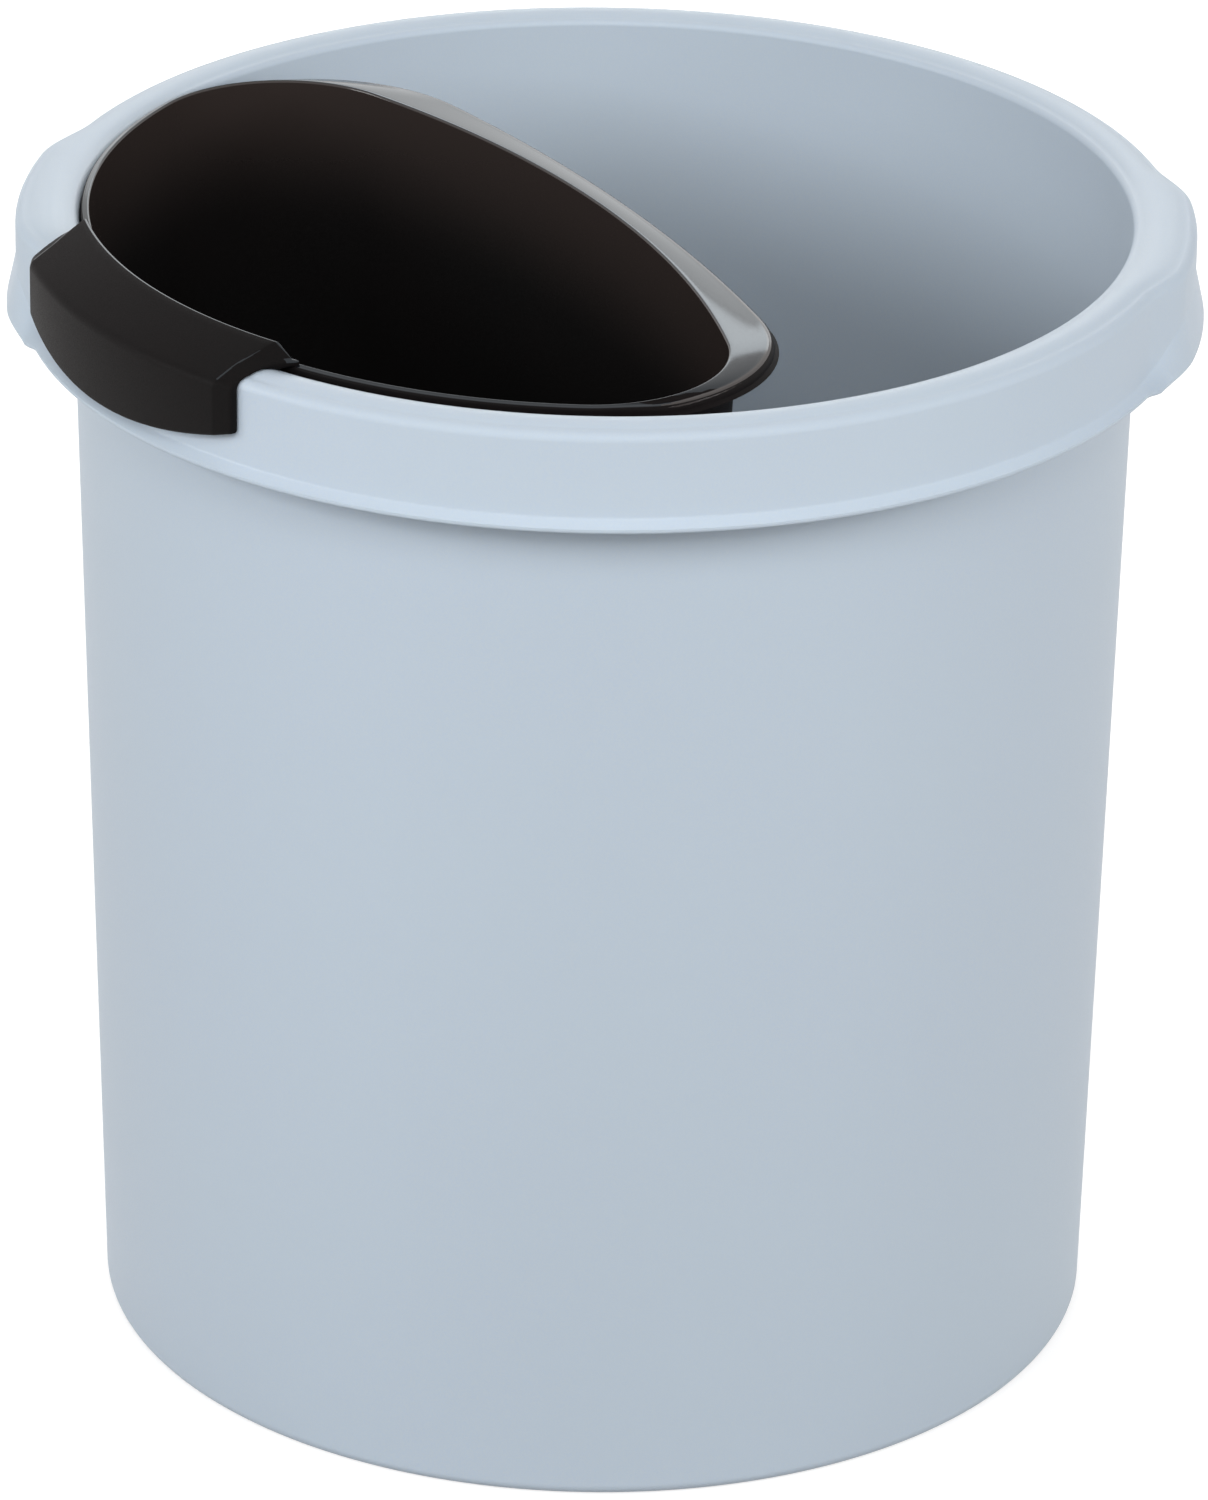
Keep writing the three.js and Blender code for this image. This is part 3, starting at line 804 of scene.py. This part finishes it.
def make_pockets(finish):
    half = (POCKET_HALF_WIDTH / POCKET_COUNT - POCKET_RIB / 2) / HOOK_HALF_WIDTH
    shares = [lerp(half, -half, k / ROUND_STEPS) for k in range(ROUND_STEPS + 1)]
    bm = bmesh.new()
    for section in (rim_pocket(), face_pocket()):
        sweep(bm, [(share, section) for share in shares])
    pockets = mesh_object("pockets", bm)
    run_tree(pockets, pocket_tree(), {
        "Count": POCKET_COUNT,
        "Angle apart": 2 * math.asin(POCKET_HALF_WIDTH / HOOK_CHANNEL) / POCKET_COUNT,
        "Turn": math.radians(HOOK_TURN),
        "Plastic": finish,
    })
    return pockets


# The basket as one moulding

INSIDE, POLISHED, GRAINED = range(3)


def finish_of(polygon):
    """The hook and the outer sides are grained, and the flange's top is polished.

    So are the hook's inner side and the edges of its chamfers, where hands have rubbed them."""
    centre, normal = polygon.center / MM, polygon.normal
    radius = math.hypot(centre.x, centre.y)
    faces_up = normal.z > FLAT_SHARE
    raised = centre.z > FLANGE_LEVEL + HANG_GAP
    if raised and radius < OPENING_OUTER + EDGE_WIDTH + HOOK_TOP_ROUND:
        return POLISHED
    if raised or radius > MOUTH_RADIUS:
        across = abs((Matrix.Rotation(math.radians(-HOOK_TURN), 2) @ centre.xy).y)
        from_end = half_width_at(radius) - across
        rubbed = abs(from_end - CHAMFER_LENGTH) < CHAMFER_BLEND / 2
        return POLISHED if rubbed and faces_up else GRAINED
    if centre.z > FLANGE_LEVEL - FLANGE_FALL and faces_up:
        return POLISHED
    middle = Matrix.Rotation(math.radians(INSERT_TURN), 2) @ Vector((TUB_CENTRE, 0))
    outwards = normal.xy.dot(centre.xy - middle)
    return GRAINED if outwards > 0 and normal.z < FLAT_SHARE else INSIDE


def make_basket():
    """The tub with its flange, and the hook that grows out of it."""
    finishes = (inside_black_with_painted_light(), polished_black(), grained_black())
    hook = make_hook()
    combine(hook, make_pockets(finishes[GRAINED]), "DIFFERENCE")
    basket = make_tub()
    combine(basket, hook, "UNION")
    basket.data.materials.clear()
    for finish in finishes:
        basket.data.materials.append(finish)
    for polygon in basket.data.polygons:
        polygon.material_index = finish_of(polygon)
    smooth(basket, BASKET_SHARP_ANGLE)
    return basket


# Finishes

def noise(tree, coords, scale, detail):
    return add(tree, "ShaderNodeTexNoise", {"Vector": coords, "Scale": scale, "Detail": detail})


def spread(tree, value, low, high):
    """Widens the middle of a noise, where nearly all of it lies, to the whole of a range."""
    return add(tree, "ShaderNodeMapRange", {
        "Value": value, "From Min": NOISE_LOW, "From Max": NOISE_HIGH,
        "To Min": low, "To Max": high,
    })


def mixed(tree, colour, other, share):
    """Colours are sockets, or red, green and blue."""
    sides = [
        side if isinstance(side, bpy.types.NodeSocket) else (*side, 1)
        for side in (colour, other)
    ]
    return add(tree, "ShaderNodeMix", {"A": sides[0], "B": sides[1], "Factor": share},
               data_type="RGBA")


def painted_light_band(tree, coords, pigment, colour, low, high):
    """Painted light: a lighter, warmer colour between two heights, strongest at the upper one, for
    the light near the rim while the depth is in shade.
    """
    parts = tree.nodes.new("ShaderNodeSeparateXYZ")
    tree.links.new(coords, parts.inputs["Vector"])
    painted_light_share = add(tree, "ShaderNodeMapRange", {
        "Value": parts.outputs["Z"], "From Min": low * MM, "From Max": high * MM,
    }, interpolation_type="SMOOTHSTEP")
    return mixed(tree, pigment, colour, painted_light_share)


def moulded_plastic(
    name, colours, roughness, grain, wave, specular, sheen=(1.0, 1.0, 1.0), painted_light=None
):
    """Pigment that varies a little, an etched grain and a faint flow of the moulding.

    specular is how strongly it reflects, and sheen tints what it reflects."""
    material = bpy.data.materials.new(name)
    material.use_nodes = True
    tree = material.node_tree
    coords = tree.nodes.new("ShaderNodeTexCoord").outputs["Object"]
    speckle = noise(tree, coords, grain["speckle"], SPECKLE_DETAIL)
    cloud = noise(tree, coords, CLOUD_SCALE, CLOUD_DETAIL)
    etched = noise(tree, coords, grain["scale"], GRAIN_DETAIL)
    flow = noise(tree, coords, wave["scale"], FLOW_DETAIL)
    pigment = mixed(tree, colours[0], colours[1], spread(tree, speckle, 0.0, 1.0))
    pigment = mixed(tree, pigment, colours[2], spread(tree, cloud, 0.0, CLOUD_SHARE))
    # Painted light: where given, a lighter colour between two heights is mixed into the pigment
    if painted_light:
        pigment = painted_light_band(tree, coords, pigment, *painted_light)
    waved = add(tree, "ShaderNodeBump", {
        "Height": flow, "Distance": wave["depth"] * MM, "Strength": wave["strength"],
    })
    normal = add(tree, "ShaderNodeBump", {
        "Height": etched, "Distance": grain["depth"] * MM, "Strength": grain["strength"],
        "Normal": waved,
    })
    feed(tree, tree.nodes["Principled BSDF"], {
        "Base Color": pigment,
        "Roughness": spread(tree, etched, *roughness),
        "Specular IOR Level": specular,
        "Specular Tint": (*sheen, 1),
        "Normal": normal,
    })
    return material


def bin_plastic():
    return moulded_plastic(
        "bin_plastic",
        colours=((0.449, 0.531, 0.630), (0.479, 0.547, 0.614), (0.467, 0.549, 0.622)),
        roughness=(0.42, 0.54),
        grain={"speckle": 1500.0, "scale": 2200.0, "depth": 0.05, "strength": 0.35},
        wave={"scale": 14.0, "depth": 0.6, "strength": 0.06},
        specular=0.4,
    )


def inside_black_with_painted_light():
    return moulded_plastic(
        "insert_inside",
        colours=((0.006, 0.006, 0.006), (0.008, 0.008, 0.008), (0.010, 0.008, 0.008)),
        roughness=(0.06, 0.10),
        grain={"speckle": 900.0, "scale": 1400.0, "depth": 0.02, "strength": 0.03},
        wave={"scale": 22.0, "depth": 0.5, "strength": 0.04},
        specular=0.5,
        # Painted light: lighter and warmer near the rim, where light falls, and darker below, where
        # the tub is in shade
        painted_light=((0.031, 0.024, 0.022), FLANGE_LEVEL - PAINTED_LIGHT_DEPTH, FLANGE_LEVEL + PAINTED_LIGHT_PROUD),
    )


def polished_black():
    return moulded_plastic(
        "insert_polished",
        colours=((0.005, 0.006, 0.008), (0.007, 0.008, 0.010), (0.008, 0.009, 0.011)),
        roughness=(0.06, 0.11),
        grain={"speckle": 900.0, "scale": 1400.0, "depth": 0.02, "strength": 0.03},
        wave={"scale": 22.0, "depth": 0.5, "strength": 0.06},
        specular=0.46,
        sheen=(0.84, 0.93, 1.0),
    )


def grained_black():
    return moulded_plastic(
        "insert_grained",
        colours=((0.003, 0.003, 0.003), (0.005, 0.004, 0.004), (0.006, 0.004, 0.004)),
        roughness=(0.48, 0.60),
        grain={"speckle": 1500.0, "scale": 2400.0, "depth": 0.05, "strength": 0.4},
        wave={"scale": 22.0, "depth": 0.4, "strength": 0.05},
        specular=0.08,
    )


# Floor and light

def shown_white(tree):
    """1 for what the camera sees straight, mirrored or through glass, and 0 for other light."""
    ray = tree.nodes.new("ShaderNodeLightPath").outputs
    straight_or_mirrored = reckon(tree, "MAXIMUM", ray["Is Camera Ray"], ray["Is Glossy Ray"])
    return reckon(tree, "MAXIMUM", straight_or_mirrored, ray["Is Transmission Ray"])


def floor_white():
    """Pale for the light that falls on it, and white where the camera sees it.

    Its glow rises to white away from the bin, and is lower near it, so that the shadow shows."""
    material = bpy.data.materials.new("floor_white")
    material.use_nodes = True
    tree = material.node_tree
    tree.nodes.clear()
    coords = tree.nodes.new("ShaderNodeTexCoord").outputs["Object"]
    away = add(tree, "ShaderNodeVectorMath", {0: coords}, operation="LENGTH")
    rising = add(tree, "ShaderNodeMapRange", {
        "Value": away, "From Min": GLOW_NEAR, "From Max": GLOW_FAR,
        "To Min": GLOW_LOW, "To Max": GLOW_HIGH,
    }, interpolation_type="SMOOTHSTEP")
    strength = reckon(tree, "MULTIPLY", shown_white(tree), rising)
    glow = add(tree, "ShaderNodeEmission", {"Strength": strength})
    diffuse = add(tree, "ShaderNodeBsdfDiffuse", {"Color": (*FLOOR_COLOUR, 1)})
    surface = add(tree, "ShaderNodeAddShader", {0: diffuse, 1: glow})
    add(tree, "ShaderNodeOutputMaterial", {"Surface": surface})
    return material


def make_floor():
    bm = bmesh.new()
    bmesh.ops.create_circle(bm, cap_ends=True, radius=FLOOR_RADIUS, segments=FLOOR_SIDES)
    floor = mesh_object("floor", bm)
    floor.data.materials.append(floor_white())


def make_world():
    """A faint even light, and a white background."""
    world = bpy.data.worlds.new("studio")
    bpy.context.scene.world = world
    world.use_nodes = True
    tree = world.node_tree
    tree.nodes.clear()
    ambient = add(tree, "ShaderNodeBackground",
                  {"Color": (*AMBIENT_COLOUR, 1), "Strength": AMBIENT_STRENGTH})
    white = add(tree, "ShaderNodeBackground", {"Color": (1, 1, 1, 1), "Strength": 1.0})
    surface = add(tree, "ShaderNodeMixShader", {"Fac": shown_white(tree), 1: ambient, 2: white})
    add(tree, "ShaderNodeOutputWorld", {"Surface": surface})


def softbox(name, bearing, height, distance, size, power, mirrored=False, tint=(1, 1, 1)):
    """A lamp that faces the bin, at a distance and of a size in metres, with its power in watts.

    Bearing and height are angles: a bearing of 0 is behind the camera, and 90 is on its right.
    Only a mirrored lamp shows in glossy surfaces."""
    turn, rise = math.radians(bearing + CAMERA_AZIMUTH), math.radians(height)
    towards = Vector((
        math.sin(turn) * math.cos(rise), -math.cos(turn) * math.cos(rise), math.sin(rise)
    ))
    data = bpy.data.lights.new(name, "AREA")
    data.shape = "RECTANGLE"
    data.size, data.size_y = size
    data.energy = power
    data.color = tint
    lamp = add_object(name, data)
    lamp.visible_glossy = mirrored
    lamp.location = Vector((0, 0, LAMP_AIM)) + towards * distance
    lamp.rotation_euler = towards.to_track_quat("Z", "Y").to_euler()


def make_lights():
    softbox("front_softbox", 0, 40, 3.4, (1.8, 1.4), 48)
    softbox("top_softbox", 0, 70, 3.4, (1.8, 1.4), 8, tint=(1.0, 0.92, 0.88))
    softbox("right_softbox", 42, 20, 3.2, (1.3, 1.2), 23, tint=(1.0, 0.96, 0.93))
    softbox("far_right_softbox", 75, 20, 3.2, (1.3, 1.2), 38)
    softbox("left_softbox", -42, 25, 3.2, (1.3, 1.2), 37)
    softbox("far_left_softbox", -75, 20, 3.2, (1.3, 1.2), 29, True)
    softbox("rear_softbox", 180, 30, 3.2, (1.6, 1.0), 42, tint=(1.0, 0.96, 0.90))
    softbox("low_rear_softbox", 180, 14, 3.2, (1.6, 1.0), 22)
    softbox("rear_left_softbox", -150, 40, 3.0, (1.2, 1.0), 9, tint=(1.0, 0.80, 0.70))
    softbox("mirrored_panel", 178, 12, 3.0, (2.2, 0.72), 3.2, True, tint=(0.92, 0.97, 1.0))
    softbox("mirrored_strip", 176, 22.5, 3.0, (1.1, 0.30), 2.2, True, tint=(0.88, 0.95, 1.0))


# Camera

def make_camera():
    """Stands where the photo was taken, and frames as the photo does."""
    data = bpy.data.cameras.new("camera")
    data.sensor_width = SENSOR
    data.lens = FOCAL_PIXELS / FRAME_HEIGHT * SENSOR
    data.shift_x = -FRAME_OFFSET[0] / FRAME_HEIGHT
    data.shift_y = FRAME_OFFSET[1] / FRAME_HEIGHT
    data.clip_start = CLIP_NEAR
    data.clip_end = CLIP_FAR
    look = Vector((0, math.cos(CAMERA_TILT), -math.sin(CAMERA_TILT)))
    place = Vector((0, 0, RIM_HEIGHT / 2 * MM)) - look * CAMERA_DISTANCE
    upright = look.to_track_quat("-Z", "Y").to_matrix().to_4x4()
    roll = Matrix.Rotation(CAMERA_ROLL, 4, "Z")
    turn = Matrix.Rotation(math.radians(CAMERA_AZIMUTH), 4, "Z")
    camera = add_object("camera", data)
    camera.matrix_world = turn @ Matrix.Translation(place) @ upright @ roll
    bpy.context.scene.camera = camera


def main():
    make_camera()
    make_world()
    make_lights()
    make_floor()
    pail = make_pail()
    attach(pail, "bin")
    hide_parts("bin_body")
    basket = make_basket()
    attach(basket, "insert")
    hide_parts("waste_insert")
    bpy.context.scene.view_settings.view_transform = "Standard"


main()
